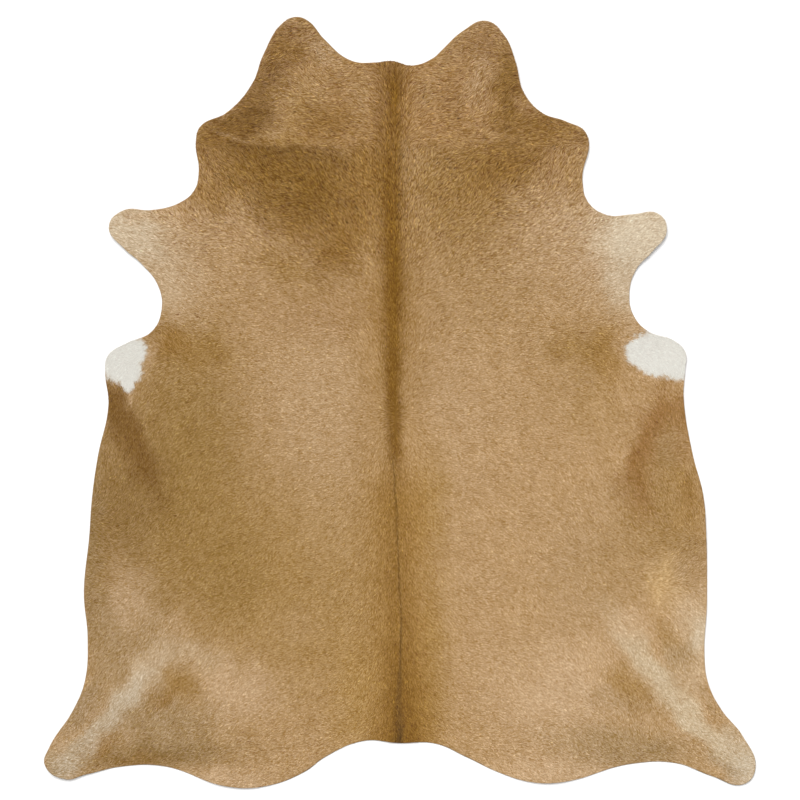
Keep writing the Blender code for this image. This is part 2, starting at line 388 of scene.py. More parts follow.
def lay_of(places):
    """The way the tips point at each place, as unit vectors."""
    bench = on_the_bench(places)
    side = np.where(bench[:, 0] < 0, -1.0, 1.0)
    outward = np.radians(read_rows(LAYS, LAY_COLUMNS, bench[:, 1], np.abs(bench[:, 0])))
    way = np.column_stack((side * np.cos(outward), np.sin(outward)))
    for turn in TURNS:
        distance = np.linalg.norm(bench - (turn.across, turn.up), axis=1)
        share = np.exp(-((distance / turn.reach) ** 2))[:, None]
        heading = math.radians(turn.heading)
        way = (1 - share) * way + share * np.array((math.cos(heading), math.sin(heading)))
    heading = np.arctan2(way[:, 1], way[:, 0])
    waviness = np.radians(along_rows(bench, LAYS, "waves"))
    for number, (degrees, size) in enumerate(zip(WANDER, WANDER_SIZES)):
        heading += waviness * degrees * mottle(places, size, seed=20 + number, waves=20)
    heading += np.radians(STRAY) * coat_draws.standard_normal(len(places))
    return np.column_stack((np.cos(heading), np.sin(heading)))


# The tones of the coat as they look in even light, and the soft patches of them over the tan body
# of the hide. A patch is an oval: its middle, half length and half width in centimetres, the turn
# of its length from straight across in degrees, how soft its edge is, and how much it covers.
TONES = {
    "white": (215, 212, 203),
    "ivory": (214, 197, 170),
    "cream": (208, 188, 159),
    "sand": (198, 172, 138),
    "bone": (204, 188, 163),
    "buff": (200, 180, 149),
    "stone": (190, 170, 142),
    "fawn": (198, 167, 130),
    "maize": (202, 168, 118),
    "honey": (190, 158, 118),
    "tan": (184, 150, 107),
    "gold": (175, 139, 84),
    "wheat": (177, 143, 98),
    "oat": (178, 146, 105),
    "caramel": (168, 133, 79),
    "ochre": (160, 124, 70),
    "amber": (157, 118, 58),
    "olive": (153, 120, 66),
    "bronze": (147, 109, 54),
    "bark": (135, 99, 45),
    "chestnut": (130, 92, 35),
    "umber": (126, 91, 43),
    "black-brown": (106, 76, 35),
    "soot": (86, 60, 25),
    "rose": (168, 131, 86),
    "russet": (171, 132, 83),
    "brick": (150, 110, 62),
    "ash": (155, 118, 73),
    "putty": (160, 135, 102),
    "dust": (165, 137, 98),
    "hazel": (160, 127, 80),
    "clay": (148, 120, 79),
    "dusk": (143, 107, 65),
    "drab": (144, 112, 65),
}
BODY = "tan"
Patch = namedtuple("Patch", "place tone across up half_length half_width turn softness share")
# Some patches are painted light and shade: the pale and dark sides of the neck crease, the darker folds
# of poll and flanks, and the pale hind-leg ridges with darker hollows beside them.
PATCHES = (
    Patch("left side", "olive", -60.0, 75.0, 40.0, 17.5, 90, 0.25, 0.95),
    Patch("loin, left", "caramel", -27.0, 46.0, 31.0, 24.0, 90, 0.25, 0.90),
    Patch("low side, left", "olive", -46.0, 49.0, 14.0, 9.0, 90, 0.30, 0.68),
    Patch("croup, left, paler", "honey", -28.0, 34.0, 6.0, 4.5, 0, 0.30, 0.30),
    Patch("middle side, left", "honey", -19.0, 66.0, 20.0, 9.0, 90, 0.30, 0.25),
    Patch("middle of the back, right", "fawn", 12.5, 90.0, 18.0, 10.0, 90, 0.30, 0.24),
    Patch("shoulder, left", "honey", -22.0, 98.0, 22.0, 13.0, 90, 0.25, 0.70),
    Patch("shoulder front, left", "rose", -17.0, 122.0, 17.0, 6.5, 0, 0.30, 0.50),
    Patch("shoulder, right", "wheat", 29.0, 129.0, 18.0, 14.0, 0, 0.25, 0.65),
    Patch("ribs, right", "wheat", 54.0, 102.0, 13.0, 9.0, 0, 0.30, 0.90),
    Patch("loin, right", "oat", 56.0, 48.0, 22.0, 14.0, 90, 0.25, 0.85),
    Patch("loin, right, outer", "caramel", 62.0, 50.0, 10.0, 7.0, 90, 0.30, 0.22),
    Patch("ribs, right, low", "caramel", 55.5, 95.0, 8.0, 6.0, 90, 0.30, 0.25),
    Patch("neck, outer left", "bronze", -46.0, 165.5, 13.0, 11.0, 0, 0.22, 0.65),
    Patch("neck, left", "bark", -27.0, 158.8, 22.0, 13.0, -35, 0.20, 1.00),
    Patch("neck, by the stripe", "bronze", -8.5, 163.0, 12.0, 6.0, 90, 0.25, 0.85),
    Patch("neck, low by the stripe", "bronze", -15.0, 140.5, 9.0, 6.0, 65, 0.25, 0.90),
    Patch("neck, low, left of it", "bronze", -28.5, 146.0, 8.0, 3.6, -35, 0.30, 0.65),
    Patch("neck, low left", "ochre", -30.0, 135.0, 8.5, 4.2, -30, 0.25, 0.75),
    Patch("shoulder point, left", "bronze", -54.0, 155.0, 5.5, 4.0, 0, 0.30, 0.80),
    Patch("neck, right", "ochre", 18.0, 159.0, 20.0, 14.0, 90, 0.25, 0.90),
    Patch("throat, right", "bronze", 33.0, 166.0, 14.0, 7.5, 30, 0.25, 0.95),
    Patch("behind the throat, right", "fawn", 48.0, 149.0, 7.0, 4.0, 10, 0.30, 0.50),
    Patch("shoulder front, right", "honey", 48.0, 138.5, 13.0, 9.0, 0, 0.30, 0.70),
    Patch("cheek, right", "rose", 47.0, 164.0, 7.0, 5.0, 90, 0.30, 0.60),
    Patch("neck edge, right", "gold", 50.5, 162.0, 8.0, 4.0, 90, 0.30, 0.35),
    # Painted shade below the neck crease, right.
    Patch("below the neck crease, right", "bronze", 22.5, 168.3, 9.0, 2.2, 0, 0.30, 0.40),
    Patch("head", "russet", -3.0, 186.0, 45.0, 16.0, 0, 0.12, 0.95),
    Patch("head lobe, left", "ash", -30.0, 199.0, 9.0, 8.0, 0, 0.25, 0.90),
    Patch("jaw, left", "umber", -37.2, 185.8, 12.5, 4.9, 65, 0.25, 0.75),
    Patch("lobe band, left", "bronze", -30.5, 198.0, 6.0, 2.6, 20, 0.30, 0.60),
    Patch("head lobe, left, low", "ash", -30.0, 191.2, 3.5, 3.0, 0, 0.30, 0.40),
    Patch("crown edge, left", "wheat", -19.0, 193.5, 6.5, 3.6, -45, 0.30, 0.60),
    Patch("crown corner, left", "honey", -19.5, 197.0, 4.0, 2.2, -45, 0.30, 0.80),
    Patch("jaw streak, left", "wheat", -34.0, 174.2, 4.2, 2.4, 40, 0.30, 0.75),
    Patch("cheek, left", "bronze", -50.0, 174.0, 7.0, 4.0, 20, 0.25, 0.90),
    Patch("jaw corner, left", "umber", -39.2, 177.8, 6.0, 3.6, 25, 0.25, 0.85),
    Patch("jaw edge, left", "umber", -48.5, 176.0, 5.0, 2.6, 30, 0.25, 0.70),
    # Painted light and shade of the neck crease: paler above the ridge, darker below it.
    Patch("above the neck crease", "gold", -29.0, 171.3, 8.0, 1.5, 3, 0.30, 0.65),
    Patch("below the neck crease", "umber", -29.5, 168.2, 10.0, 1.5, 0, 0.30, 0.70),
    Patch("below the neck crease, middle", "bark", -17.0, 165.0, 5.0, 3.5, 0, 0.30, 0.60),
    Patch("neck crease, left end", "umber", -44.6, 169.2, 5.5, 2.2, 0, 0.30, 0.65),
    Patch("neck crease, pale line", "honey", -45.6, 173.6, 5.0, 0.5, -25, 0.30, 0.45),
    Patch("neck, outer left, paler", "ochre", -44.8, 160.0, 4.0, 4.0, 0, 0.30, 0.50),
    Patch("neck, left, paler spot", "ochre", -31.0, 157.8, 3.5, 2.0, 0, 0.30, 0.60),
    Patch("forehead, left", "wheat", -25.6, 184.4, 7.0, 6.5, 0, 0.30, 0.80),
    Patch("forehead mottle", "bronze", -19.2, 177.0, 6.8, 4.6, -10, 0.30, 0.85),
    Patch("forehead, left, golden", "gold", -28.0, 178.8, 6.5, 2.4, 78, 0.30, 0.60),
    Patch("beside the crown, left", "wheat", -8.8, 184.5, 8.0, 3.4, 90, 0.30, 0.75),
    Patch("forehead, right", "ash", 15.5, 184.0, 6.0, 3.5, 90, 0.30, 0.50),
    Patch("beside the crown, right", "wheat", 7.4, 185.0, 4.0, 2.4, 90, 0.30, 0.65),
    Patch("crown edge, right", "wheat", 14.0, 196.0, 6.0, 3.0, 40, 0.30, 0.60),
    Patch("head lobe, right", "ash", 24.0, 200.0, 7.5, 5.5, 30, 0.25, 0.90),
    Patch("eye place, right", "honey", 23.0, 188.0, 7.0, 3.6, 80, 0.30, 0.65),
    # Painted shade in the poll fold.
    Patch("poll fold, right", "bark", 31.3, 187.0, 12.0, 3.6, 90, 0.25, 0.90),
    Patch("cheek front, right", "bronze", 40.5, 176.0, 10.0, 4.2, -10, 0.25, 0.85),
    Patch("cheek corner, right", "bronze", 50.8, 174.0, 4.5, 3.4, -20, 0.30, 0.50),
    Patch("cheek edge, right", "rose", 35.0, 182.0, 3.5, 1.3, -35, 0.30, 0.70),
    Patch("foreleg root, left", "honey", -61.5, 136.0, 14.0, 9.0, 90, 0.25, 0.85),
    Patch("foreleg back, left", "sand", -69.5, 137.0, 14.0, 8.0, -50, 0.22, 0.85),
    Patch("foreleg, left", "cream", -77.0, 147.0, 11.5, 7.0, -20, 0.22, 0.95),
    Patch("foreleg edge, left", "honey", -70.0, 149.5, 7.0, 1.3, -8, 0.30, 0.50),
    Patch("foreleg root, right", "honey", 57.0, 139.0, 12.0, 8.0, 90, 0.25, 0.80),
    Patch("shoulder edge, right", "fawn", 55.4, 135.6, 3.5, 3.2, 0, 0.30, 0.50),
    Patch("foreleg back, right", "cream", 65.8, 133.0, 10.0, 6.3, 90, 0.22, 0.85),
    Patch("foreleg, right", "ivory", 70.0, 146.0, 13.0, 8.5, 10, 0.22, 1.00),
    Patch("foreleg, right, paler", "ivory", 74.0, 146.0, 6.0, 5.0, 0, 0.30, 0.80),
    Patch("armpit, left", "bronze", -63.8, 114.0, 5.5, 4.0, -20, 0.25, 0.85),
    Patch("behind the elbow, left", "ochre", -54.0, 112.0, 7.5, 5.0, 0, 0.30, 0.90),
    Patch("elbow, right", "amber", 59.5, 112.0, 6.5, 4.0, 90, 0.25, 0.90),
    Patch("behind the elbow, right", "ochre", 51.0, 112.8, 8.0, 4.7, 0, 0.30, 0.85),
    Patch("flank strip, left", "drab", -77.5, 73.0, 20.0, 9.5, 86, 0.25, 0.95),
    Patch("flank edge, left", "drab", -85.0, 48.0, 24.0, 4.0, 90, 0.30, 0.38),
    Patch("flank edge, left, greyer", "clay", -86.5, 62.0, 26.0, 2.8, 90, 0.30, 0.70),
    # Painted shade along the left flank fold.
    Patch("flank fold, left", "umber", -74.5, 86.5, 17.0, 3.8, -63, 0.25, 0.95),
    Patch("under the white, left", "umber", -80.0, 97.4, 6.0, 3.2, -80, 0.25, 1.00),
    Patch("fringe of the white, left", "honey", -76.0, 99.2, 2.6, 1.2, -60, 0.30, 0.70),
    Patch("fringe of the white, left, inner", "fawn", -69.4, 111.0, 4.0, 1.6, 75, 0.30, 0.45),
    Patch("fringe of the white, right", "honey", 65.5, 114.5, 5.0, 2.6, 35, 0.30, 0.70),
    Patch("below the white, right", "brick", 79.4, 94.6, 7.0, 5.2, -15, 0.25, 0.95),
    Patch("flank, right", "hazel", 77.0, 68.0, 19.0, 12.4, 90, 0.25, 0.95),
    Patch("flank front, right", "rose", 82.5, 85.5, 5.5, 3.0, 80, 0.30, 0.80),
    # Painted shade along the right flank fold.
    Patch("flank fold, right", "brick", 71.5, 88.0, 14.0, 3.0, 66, 0.25, 0.95),
    Patch("flank hollow, right", "brick", 69.5, 74.5, 9.0, 3.8, 96, 0.25, 0.75),
    Patch("flank edge, right, low", "ochre", 82.0, 63.8, 4.4, 4.4, 0, 0.30, 0.48),
    Patch("flank edge, right, high", "ochre", 80.3, 76.5, 3.4, 3.0, 0, 0.30, 0.45),
    Patch("flank edge, right", "bronze", 84.0, 71.5, 5.0, 2.4, 95, 0.30, 0.60),
    Patch("flank spot, right", "maize", 76.2, 46.5, 8.0, 4.6, 90, 0.30, 0.60),
    Patch("flank spot, right, middle", "maize", 75.5, 46.8, 4.6, 2.0, 85, 0.30, 0.75),
    Patch("lower flank, left", "dust", -76.0, 29.0, 15.0, 11.0, 90, 0.25, 0.85),
    Patch("lower flank, left, paler", "fawn", -75.5, 40.0, 8.0, 5.0, 90, 0.30, 0.60),
    Patch("lower side, left, paler", "fawn", -62.3, 33.8, 3.6, 3.0, 0, 0.30, 0.35),
    Patch("lower flank, left, darker", "hazel", -73.5, 29.8, 4.5, 2.5, 90, 0.30, 0.38),
    Patch("lower flank, right", "sand", 84.0, 27.5, 16.0, 6.0, 90, 0.25, 0.72),
    Patch("lower flank, right, paler", "ivory", 86.8, 30.5, 4.4, 3.0, 80, 0.25, 0.70),
    Patch("lower flank, right, darker", "ochre", 78.3, 29.0, 6.0, 1.8, -48, 0.30, 0.62),
    Patch("rump, right", "fawn", 47.0, 15.0, 18.0, 13.0, 5, 0.25, 0.90),
    Patch("buttock edge, right", "fawn", 46.0, -8.0, 18.0, 5.0, 4, 0.30, 0.90),
    Patch("buttock edge, left", "fawn", -48.0, -11.0, 10.0, 3.4, -4, 0.30, 0.90),
    Patch("rump, left", "fawn", -46.0, 15.0, 12.0, 8.0, 0, 0.25, 0.80),
    Patch("under the leg, left", "dust", -67.0, 6.0, 16.0, 9.0, -10, 0.22, 0.90),
    # Painted shade in the hollow beside the left hind-leg ridge.
    Patch("leg hollow, left", "ochre", -61.8, 18.0, 6.6, 3.7, -40, 0.28, 0.95),
    Patch("leg hollow, left, lower", "bronze", -66.6, 13.2, 3.6, 2.0, 50, 0.30, 0.80),
    Patch("thigh, left", "sand", -58.0, 25.5, 9.0, 3.4, -12, 0.30, 0.60),
    Patch("leg edge, left", "clay", -70.0, -4.0, 20.0, 3.6, 3, 0.30, 0.95),
    Patch("leg edge, left, darker", "bronze", -73.0, -4.5, 9.0, 1.6, 3, 0.30, 0.50),
    Patch("under the leg, right", "dust", 64.5, -1.0, 19.0, 6.4, -6, 0.25, 0.90),
    # Painted shade in the hollow beside the right hind-leg ridge.
    Patch("leg hollow, right", "ochre", 66.0, 17.0, 7.0, 3.8, -32, 0.25, 0.80),
    Patch("leg hollow, right, lower", "clay", 64.0, 11.6, 12.0, 3.2, -12, 0.30, 0.38),
    Patch("under the leg, right, darker", "clay", 73.0, -1.0, 3.0, 2.0, 0, 0.30, 0.35),
    # Painted highlight along the left hind-leg ridge, with painted shade on its inner side.
    Patch("thigh ridge, left", "sand", -71.0, 20.0, 9.0, 3.8, 52, 0.25, 1.00),
    Patch("shank outer side, left", "putty", -89.3, 10.0, 9.0, 2.6, 56, 0.30, 0.70),
    Patch("shank ridge, left", "stone", -83.5, 5.0, 17.0, 2.8, 48, 0.25, 0.95),
    Patch("thigh ridge, left, palest", "bone", -75.5, 15.2, 6.5, 2.2, 48, 0.30, 0.50),
    Patch("shank inner side, left", "bronze", -83.2, -1.6, 3.4, 2.0, 35, 0.30, 0.70),
    Patch("foot, left", "stone", -94.5, -6.5, 5.5, 4.0, 60, 0.25, 0.90),
    Patch("foot, left, tip", "clay", -98.8, -9.6, 2.4, 2.0, 0, 0.30, 0.60),
    # Painted highlight along the right hind-leg ridge and knee.
    Patch("thigh ridge, right", "buff", 68.5, 27.0, 11.5, 3.2, -54, 0.25, 0.68),
    Patch("above the thigh ridge, right", "fawn", 66.5, 34.5, 5.0, 3.4, 0, 0.30, 0.70),
    Patch("knee, right", "buff", 75.5, 18.9, 7.5, 2.6, -40, 0.25, 0.80),
    Patch("behind the thigh ridge, right", "dust", 81.0, 25.5, 5.0, 3.0, 60, 0.30, 0.80),
    Patch("shank ridge, right", "buff", 84.8, 6.1, 13.0, 2.9, -44, 0.25, 0.90),
    Patch("shank outer side, right", "clay", 90.0, 12.2, 5.0, 2.0, -50, 0.30, 0.40),
    Patch("foot, right", "buff", 96.5, -3.0, 6.5, 4.2, -38, 0.25, 0.90),
    Patch("foot, right, greyer", "stone", 97.5, -1.2, 4.5, 3.0, -40, 0.30, 0.50),
    Patch("foot, right, tip", "bone", 100.0, -8.5, 5.0, 4.6, -50, 0.25, 0.75),
    Patch("foot, right, inner side", "putty", 93.2, -6.2, 4.5, 1.6, -40, 0.30, 0.45),
    Patch("beside the tail, left", "gold", -10.0, 14.0, 17.0, 7.0, 90, 0.30, 0.95),
    Patch("tail side, left", "bronze", -5.0, 4.5, 5.0, 2.4, 90, 0.30, 0.35),
    Patch("beside the tail, right", "ochre", 8.5, 8.0, 9.0, 5.0, 90, 0.30, 0.95),
    Patch("tail side, right", "wheat", 16.5, 5.5, 7.0, 5.5, 0, 0.30, 0.62),
    Patch("croup by the stripe, right", "caramel", 9.5, 31.0, 15.0, 4.5, 90, 0.30, 0.85),
    Patch("croup, right", "wheat", 37.0, 22.0, 8.0, 5.0, 90, 0.30, 0.30),
    Patch("loin by the stripe, right", "caramel", 9.0, 67.0, 14.0, 4.5, 86, 0.30, 0.80),
)
WHITES = (
    Patch("belly patch, left", "white", -78.2, 109.0, 6.0, 5.7, 0, 0.05, 1.00),
    Patch("belly patch, left, front", "white", -74.5, 112.3, 4.0, 3.6, 0, 0.05, 1.00),
    Patch("belly patch, left, low", "white", -75.4, 106.2, 3.3, 2.8, 0, 0.06, 1.00),
    Patch("belly patch, left, back", "white", -76.6, 103.2, 2.8, 1.9, -60, 0.06, 1.00),
    Patch("belly patch, left, inner", "white", -73.4, 111.0, 2.7, 2.6, 0, 0.06, 1.00),
    Patch("belly patch, right", "white", 75.4, 111.6, 8.6, 6.0, -12, 0.05, 1.00),
    Patch("belly patch, right, corner", "white", 80.4, 108.2, 4.8, 4.2, 0, 0.05, 1.00),
    Patch("belly patch, right, low", "white", 72.4, 108.4, 5.8, 2.8, -22, 0.06, 1.00),
    Patch("belly patch, right, front", "white", 69.2, 111.7, 4.2, 3.9, 20, 0.05, 1.00),
    Patch("belly patch, right, point", "white", 68.0, 113.4, 3.2, 1.2, 10, 0.07, 1.00),
)

# Greyer and darker hair laid over the stripe.
OVER_THE_STRIPE = (
    Patch("crown, dusty side of the stripe", "dusk", -3.4, 181.0, 8.5, 1.2, 90, 0.25, 0.55),
    Patch("crown edge, at the stripe", "dusk", -1.5, 193.5, 2.4, 3.4, 0, 0.30, 0.60),
    Patch("tail root", "soot", 1.2, 1.4, 2.8, 1.2, 90, 0.30, 0.70),
)

# The dark stripe of hair along the backbone with its paler halo, and the fine parting behind it,
# down the hide: the middle's place across and half width in centimetres, and how much each covers.
Stripe = namedtuple("Stripe", "up across half_width share halo_share")
STRIPES = (
    Stripe(195, -1.1, 3.4, 0.80, 0.0),
    Stripe(186, -0.7, 3.1, 1.00, 0.0),
    Stripe(175, -0.9, 3.4, 0.80, 0.1),
    Stripe(165, -1.6, 3.8, 0.90, 0.2),
    Stripe(152, -1.2, 3.6, 0.95, 0.4),
    Stripe(142, -0.8, 3.4, 0.95, 0.4),
    Stripe(129, -0.6, 3.3, 1.00, 0.5),
    Stripe(118, -0.7, 3.0, 0.95, 0.5),
    Stripe(106, -0.8, 2.8, 0.95, 0.5),
    Stripe(98, -0.6, 2.2, 0.95, 0.4),
    Stripe(91, -0.3, 1.8, 0.85, 0.4),
    Stripe(84, -0.1, 2.2, 0.95, 0.4),
    Stripe(80, -0.1, 3.0, 0.50, 0.5),
    Stripe(70, 0.2, 3.5, 0.35, 0.9),
    Stripe(55, 0.5, 4.5, 0.40, 0.8),
    Stripe(40, 1.0, 4.5, 0.45, 0.8),
    Stripe(26, 1.4, 4.8, 0.60, 0.9),
    Stripe(15, 1.8, 5.4, 0.80, 1.0),
    Stripe(0, 1.8, 5.8, 1.00, 1.0),
)
STRIPE_TONE, HALO_TONE, HALO_HALF_WIDTH = "chestnut", "amber", 9.0
BAND_FLATNESS = 2.4

Parting = namedtuple("Parting", "up across half_width share")
PARTINGS = (
    Parting(84, -0.7, 0.15, 0.0),
    Parting(80, -0.6, 0.20, 0.7),
    Parting(67, 0.2, 0.20, 0.7),
    Parting(57, 0.4, 0.22, 0.9),
    Parting(41, 1.2, 0.20, 0.8),
    Parting(31, 1.4, 0.30, 0.9),
    Parting(22, 1.1, 0.40, 0.9),
    Parting(15, 0.9, 0.90, 0.6),
    Parting(5, 0.8, 1.10, 0.7),
    Parting(0, 0.8, 1.30, 0.9),
)
PARTING_TONE = "black-brown"

# The patches drift in and out by so many centimetres, and the white ones end raggedly. Past so many
# softnesses from its edge, a patch is whole or gone.
DRIFT, DRIFT_SIZE = 0.9, 0.05
RAGGED, RAGGED_SIZE, RAGGED_HAIRS = 0.06, 0.008, 0.05
WHOLE_OR_GONE = 30

# The tones are what the coat looks like as a whole, and COAT_LEVEL brings it to them in the
# studio's light. Each lock has painted shade at its root, where the locks overlap, and a painted
# highlight at its tip. Paler locks are greyer: they differ less in red, and more in blue, than they
# do in green. White hairs look alike.
COAT_LEVEL = 0.978
GLOSS = 0.009
ROOT_SHADE, SHOULDER_SHADE, TIP_SHADE = 0.68, 0.92, 1.10
RED_LEAN, BLUE_LEAN, BLUE_LEAN_POWER = 0.75, 0.81, -0.63
WHITEST = 0.69
BRIGHTEST = 0.95


def linear(tone):
    """A tone's red, green and blue as shares of light, less the white light that the gloss adds."""
    share = np.array(TONES[tone]) / 255
    return np.where(share > 0.04045, ((share + 0.055) / 1.055) ** 2.4, share / 12.92) - GLOSS


def cover(colours, tone, share):
    """The colours with a tone laid over them."""
    return colours + share[:, None] * (linear(tone) - colours)


def patch_share(bench, patch, ragged=0.0):
    """How much of a patch lies at each place."""
    turn = math.radians(patch.turn)
    offset = bench - (patch.across, patch.up)
    along = offset @ np.array((math.cos(turn), math.sin(turn))) / patch.half_length
    aside = offset @ np.array((-math.sin(turn), math.cos(turn))) / patch.half_width
    from_edge = np.hypot(along, aside) - 1 + ragged
    fade = np.clip(from_edge / patch.softness, -WHOLE_OR_GONE, WHOLE_OR_GONE)
    return patch.share / (1 + np.exp(fade))


def band_share(bench, rows, half_width=None):
    """How near each place is to the middle of a band that the rows place, from 1 down to 0."""
    rows = rows[::-1]
    ups = [row.up for row in rows]
    middle = np.interp(bench[:, 1], ups, [row.across for row in rows])
    half_width = half_width or np.interp(bench[:, 1], ups, [row.half_width for row in rows])
    return np.exp(-(np.abs(bench[:, 0] - middle) / half_width) ** BAND_FLATNESS)


def coat_colours(places):
    """The coat's colour at each place, in shares of light."""
    bench = on_the_bench(places)
    drift = [mottle(places, DRIFT_SIZE, seed) for seed in (31, 32)]
    drifted = bench + DRIFT * np.column_stack(drift)
    colours = np.tile(linear(BODY), (len(places), 1))
    for patch in PATCHES:
        colours = cover(colours, patch.tone, patch_share(drifted, patch))
    halo = band_share(bench, STRIPES, HALO_HALF_WIDTH) * along_rows(bench, STRIPES, "halo_share")
    colours = cover(colours, HALO_TONE, halo)
    stripe = band_share(bench, STRIPES) * along_rows(bench, STRIPES, "share")
    colours = cover(colours, STRIPE_TONE, stripe)
    parting = band_share(bench, PARTINGS) * along_rows(bench, PARTINGS, "share")
    colours = cover(colours, PARTING_TONE, parting)
    for patch in OVER_THE_STRIPE:
        colours = cover(colours, patch.tone, patch_share(drifted, patch))
    ragged = RAGGED * mottle(places, RAGGED_SIZE, seed=33)
    ragged += RAGGED_HAIRS * coat_draws.standard_normal(len(places))
    for patch in WHITES:
        colours = cover(colours, patch.tone, patch_share(bench, patch, ragged))
    return colours


def off_white(colours):
    """How far each colour is from white, 1 for dark and 0 for white, whose hairs look alike."""
    return 1 - (colours.mean(axis=1) / WHITEST) ** 2


STREAK_CELLS, STREAK_STEPS = 1024, 9


def streaks(places, way, width, length, seed):
    """Unevenness in streaks of the given width and length, drawn out the way the hair lies."""
    field = np.random.default_rng(seed).standard_normal((STREAK_CELLS, STREAK_CELLS))
    nearby = places + width * coat_draws.uniform(-0.5, 0.5, places.shape)
    total = np.zeros(len(places))
    for share in np.linspace(-0.5, 0.5, STREAK_STEPS):
        cell = np.floor((nearby + share * length * way) / width).astype(int) % STREAK_CELLS
        total += field[cell[:, 0], cell[:, 1]]
    return total / math.sqrt(STREAK_STEPS)


HAIR_GLOSS, GLOSSIEST_HAIR, DULLEST_HAIR = 0.2, 0.50, 0.72
HAIR_DETAIL, DARK_HAIRS_BELOW, PALE_HAIRS_ABOVE = 3.0, 0.3, 0.7
DARKER_HAIR, PALER_HAIR = 0.82, 1.18
HAIR_STRENGTH, HAIR_DEPTH = 0.5, 0.0003


def coat_finish():
    """Hair: the lock's own colour, streaked along its length into single hairs, with a soft gloss."""
    material, shader = new_finish("coat", HAIR_GLOSS)
    lock_colour = add_node(material, "ShaderNodeVertexColor", (-800, 260), layer_name="lock_colour")
    place = add_node(material, "ShaderNodeUVMap", (-1200, -60), uv_map="hairs")
    hairs = add_node(material, "ShaderNodeTexNoise", (-980, -60), noise_dimensions="2D")
    hairs.inputs["Scale"].default_value = 1.0
    hairs.inputs["Detail"].default_value = HAIR_DETAIL
    shade = add_node(material, "ShaderNodeMapRange", (-760, -20))
    shade.inputs["From Min"].default_value = DARK_HAIRS_BELOW
    shade.inputs["From Max"].default_value = PALE_HAIRS_ABOVE
    shade.inputs["To Min"].default_value = DARKER_HAIR
    shade.inputs["To Max"].default_value = PALER_HAIR
    gloss = add_node(material, "ShaderNodeMapRange", (-760, -280))
    gloss.inputs["To Min"].default_value = GLOSSIEST_HAIR
    gloss.inputs["To Max"].default_value = DULLEST_HAIR
    streaked = add_node(material, "ShaderNodeVectorMath", (-480, 160), operation="SCALE")
    bump = add_node(material, "ShaderNodeBump", (-480, -280))
    bump.inputs["Strength"].default_value = HAIR_STRENGTH
    bump.inputs["Distance"].default_value = HAIR_DEPTH
    link = material.node_tree.links.new
    link(place.outputs["UV"], hairs.inputs["Vector"])
    link(hairs.outputs["Fac"], shade.inputs["Value"])
    link(hairs.outputs["Fac"], gloss.inputs["Value"])
    link(hairs.outputs["Fac"], bump.inputs["Height"])
    link(lock_colour.outputs["Color"], streaked.inputs[0])
    link(shade.outputs["Result"], streaked.inputs["Scale"])
    link(streaked.outputs["Vector"], shader.inputs["Base Color"])
    link(gloss.outputs["Result"], shader.inputs["Roughness"])
    link(bump.outputs["Normal"], shader.inputs["Normal"])
    return material


# The size and stance of a lock, in metres or as a share of its length or width. White locks rise
# less, and roots and tips stay a little inside the cut edge.
LOCK_STEP, LOCK_JITTER = 0.0021, 0.45
LENGTH_RANGE = (0.75, 1.2)
SHORTEST_SHARE = 0.2
LOCK_WIDTH, WIDTH_RANGE = 0.0018, (0.7, 1.3)
LOCK_SHOULDER, SHOULDER_RISE, SHOULDER_ROLL = 0.5, 0.3, 0.0002
ROOT_SINK = 0.0002
TIP_RISE, RISE_RANGE, WHITE_RISE = 0.12, (0.6, 1.4), 0.4
ROOT_INSET = 0.0012
TIP_INSET = 0.0007
LEAST_DROP = 1e-6

# How far locks differ in shade, each by itself and by wisps, tufts and blotches, sized in metres.
# The lower EVENNESS is, the fewer and paler the locks that stand out. The rim is a little darker.
LOCK_VARIETY, EVENNESS = 0.38, 18.0
DARKEST_LOCK, PALEST_LOCK = 0.2, 2.2
WISP_VARIETY, WISP_WIDTH, WISP_LENGTH = 0.02, 0.0028, 0.016
TUFT_WIDTH, TUFT_LENGTH = 0.006, 0.028
BLOTCH_VARIETY = 0.04
BLOTCH_SIZES = (0.014, 0.045)
RIM_SHADE, RIM_WIDTH = 0.10, 0.004


